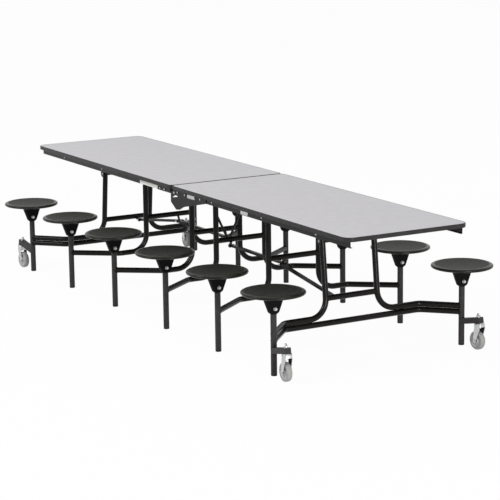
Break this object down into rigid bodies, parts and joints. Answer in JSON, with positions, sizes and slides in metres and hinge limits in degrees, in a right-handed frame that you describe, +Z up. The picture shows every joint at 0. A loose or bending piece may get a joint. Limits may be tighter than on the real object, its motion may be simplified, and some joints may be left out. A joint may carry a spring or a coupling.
{
  "type": "mobile cafeteria table with attached stools",
  "caption": "Long rectangular folding cafeteria table on casters, with round stools fixed to its bent-tube leg frames; the two top halves fold up at a centre hinge.",
  "frame": {"origin": "on the floor, under the middle of the table top, at the centre hinge", "axes": "+X along the table's length, +Z up, +Y across it, so that -Y is the side nearer to the camera in the picture"},
  "size_m": [3.678, 1.4858, 0.737],
  "materials": {
    "top_laminate": "satin laminate with a faint cloud pattern on a wood-based board",
    "edge_band": "matte black edge moulding",
    "frame_paint": "black textured powder coat",
    "post_paint": "black textured powder coat",
    "bracket_paint": "black powder coat",
    "apron_paint": "black powder coat",
    "hinge_paint": "black powder coat",
    "arm_paint": "black powder coat",
    "link_paint": "black powder coat",
    "seat_plastic": "black moulded plastic with a soft sheen",
    "pin_steel": "bare steel",
    "caster_zinc": "bright zinc plate",
    "wheel_rubber": "grey rubber"
  },
  "bodies": {
    "right_end_frame": {"right_end_leg_tubes": "frame_paint", "right_end_bottom_rail": "frame_paint", "right_end_cross_members": "frame_paint", "right_end_stool_posts": "post_paint", "right_end_seat_brackets": "bracket_paint", "right_end_seats": "seat_plastic", "right_caster_arms": "arm_paint"},
    "right_top": {"right_top_panel": "top_laminate", "right_edge_band": "edge_band", "right_aprons": "apron_paint", "right_hangers": "apron_paint", "right_pivot_rods": "pin_steel", "right_hinge_plates": "hinge_paint", "hinge_pins": "pin_steel"},
    "right_mid_frame": {"right_mid_leg_tubes": "frame_paint", "right_mid_cross_members": "frame_paint", "right_mid_stool_posts": "post_paint", "right_mid_seat_brackets": "bracket_paint", "right_mid_seats": "seat_plastic"},
    "right_inner_frame": {"right_inner_leg_tubes": "frame_paint", "right_inner_cross_members": "frame_paint", "right_v_brace": "frame_paint", "right_inner_stool_posts": "post_paint", "right_inner_seat_brackets": "bracket_paint", "right_inner_seats": "seat_plastic"},
    "right_outer_link": {"right_outer_link": "link_paint"},
    "right_inner_link": {"right_inner_link": "link_paint"},
    "right_near_caster": {"right_near_caster_fork": "caster_zinc"},
    "right_near_wheel": {"right_near_caster_wheel": "wheel_rubber"},
    "right_far_caster": {"right_far_caster_fork": "caster_zinc"},
    "right_far_wheel": {"right_far_caster_wheel": "wheel_rubber"},
    "left_end_frame": {"left_end_leg_tubes": "frame_paint", "left_end_bottom_rail": "frame_paint", "left_end_cross_members": "frame_paint", "left_end_stool_posts": "post_paint", "left_end_seat_brackets": "bracket_paint", "left_end_seats": "seat_plastic", "left_caster_arms": "arm_paint"},
    "left_top": {"left_top_panel": "top_laminate", "left_edge_band": "edge_band", "left_aprons": "apron_paint", "left_hangers": "apron_paint", "left_pivot_rods": "pin_steel", "left_hinge_plates": "hinge_paint"},
    "left_mid_frame": {"left_mid_leg_tubes": "frame_paint", "left_mid_cross_members": "frame_paint", "left_mid_stool_posts": "post_paint", "left_mid_seat_brackets": "bracket_paint", "left_mid_seats": "seat_plastic"},
    "left_inner_frame": {"left_inner_leg_tubes": "frame_paint", "left_inner_cross_members": "frame_paint", "left_inner_stool_posts": "post_paint", "left_inner_seat_brackets": "bracket_paint", "left_inner_seats": "seat_plastic"},
    "left_outer_link": {"left_outer_link": "link_paint"},
    "left_inner_link": {"left_inner_link": "link_paint"},
    "left_near_caster": {"left_near_caster_fork": "caster_zinc"},
    "left_near_wheel": {"left_near_caster_wheel": "wheel_rubber"},
    "left_far_caster": {"left_far_caster_fork": "caster_zinc"},
    "left_far_wheel": {"left_far_caster_wheel": "wheel_rubber"}
  },
  "joints": [
    {"name": "right_fold", "type": "hinge", "parent": "right_end_frame", "child": "right_top", "pos_m": [1.28, 0, 0.61], "axis": [0, 1, 0], "range_deg": [0, 80]},
    {"name": "centre_hinge", "type": "hinge", "parent": "right_top", "child": "left_top", "pos_m": [0, 0, 0.636], "axis": [0, -1, 0], "range_deg": [0, 160]},
    {"name": "right_mid_swing", "type": "hinge", "parent": "right_top", "child": "right_mid_frame", "pos_m": [0.73, 0, 0.69], "axis": [0, -1, 0], "range_deg": [0, 80]},
    {"name": "right_inner_swing", "type": "hinge", "parent": "right_top", "child": "right_inner_frame", "pos_m": [0.144, 0, 0.69], "axis": [0, -1, 0], "range_deg": [0, 80]},
    {"name": "left_end_swing", "type": "hinge", "parent": "left_top", "child": "left_end_frame", "pos_m": [-1.28, 0, 0.61], "axis": [0, 1, 0], "range_deg": [0, 80]},
    {"name": "left_mid_swing", "type": "hinge", "parent": "left_top", "child": "left_mid_frame", "pos_m": [-0.73, 0, 0.69], "axis": [0, 1, 0], "range_deg": [0, 80]},
    {"name": "left_inner_swing", "type": "hinge", "parent": "left_top", "child": "left_inner_frame", "pos_m": [-0.144, 0, 0.69], "axis": [0, 1, 0], "range_deg": [0, 80]},
    {"name": "right_outer_link_swing", "type": "hinge", "parent": "right_end_frame", "child": "right_outer_link", "pos_m": [1.258, -0.0675, 0.296], "axis": [0, 1, 0], "range_deg": [0, 80]},
    {"name": "right_inner_link_swing", "type": "hinge", "parent": "right_mid_frame", "child": "right_inner_link", "pos_m": [0.708, -0.0465, 0.376], "axis": [0, 1, 0], "range_deg": [0, 80]},
    {"name": "left_outer_link_swing", "type": "hinge", "parent": "left_end_frame", "child": "left_outer_link", "pos_m": [-1.258, 0.0675, 0.296], "axis": [0, -1, 0], "range_deg": [0, 80]},
    {"name": "left_inner_link_swing", "type": "hinge", "parent": "left_mid_frame", "child": "left_inner_link", "pos_m": [-0.708, 0.0465, 0.376], "axis": [0, -1, 0], "range_deg": [0, 80]},
    {"name": "right_near_swivel", "type": "hinge", "parent": "right_end_frame", "child": "right_near_caster", "pos_m": [1.627, -0.588, 0.161], "axis": [-0.2151, 0.0154, 0.9765], "continuous": true},
    {"name": "right_near_roll", "type": "hinge", "parent": "right_near_caster", "child": "right_near_wheel", "pos_m": [1.61752, -0.58732, 0.051], "axis": [0.0712, 0.9975, 0], "continuous": true},
    {"name": "right_far_swivel", "type": "hinge", "parent": "right_end_frame", "child": "right_far_caster", "pos_m": [1.627, 0.588, 0.161], "axis": [-0.2151, -0.0154, 0.9765], "continuous": true},
    {"name": "right_far_roll", "type": "hinge", "parent": "right_far_caster", "child": "right_far_wheel", "pos_m": [1.61752, 0.58732, 0.051], "axis": [-0.0712, 0.9975, 0], "continuous": true},
    {"name": "left_near_swivel", "type": "hinge", "parent": "left_end_frame", "child": "left_near_caster", "pos_m": [-1.627, -0.588, 0.161], "axis": [0.2151, 0.0154, 0.9765], "continuous": true},
    {"name": "left_near_roll", "type": "hinge", "parent": "left_near_caster", "child": "left_near_wheel", "pos_m": [-1.61752, -0.58732, 0.051], "axis": [-0.0712, 0.9975, 0], "continuous": true},
    {"name": "left_far_swivel", "type": "hinge", "parent": "left_end_frame", "child": "left_far_caster", "pos_m": [-1.627, 0.588, 0.161], "axis": [0.2151, -0.0154, 0.9765], "continuous": true},
    {"name": "left_far_roll", "type": "hinge", "parent": "left_far_caster", "child": "left_far_wheel", "pos_m": [-1.61752, 0.58732, 0.051], "axis": [0.0712, 0.9975, 0], "continuous": true}
  ],
  "couplings": [
    {"joint": "centre_hinge", "follows": "right_fold", "ratio": 2},
    {"joint": "right_mid_swing", "follows": "right_fold", "ratio": 1},
    {"joint": "right_inner_swing", "follows": "right_fold", "ratio": 1},
    {"joint": "left_end_swing", "follows": "right_fold", "ratio": 1},
    {"joint": "left_mid_swing", "follows": "right_fold", "ratio": 1},
    {"joint": "left_inner_swing", "follows": "right_fold", "ratio": 1},
    {"joint": "right_outer_link_swing", "follows": "right_fold", "ratio": 1},
    {"joint": "right_inner_link_swing", "follows": "right_fold", "ratio": 1},
    {"joint": "left_outer_link_swing", "follows": "right_fold", "ratio": 1},
    {"joint": "left_inner_link_swing", "follows": "right_fold", "ratio": 1}
  ]
}
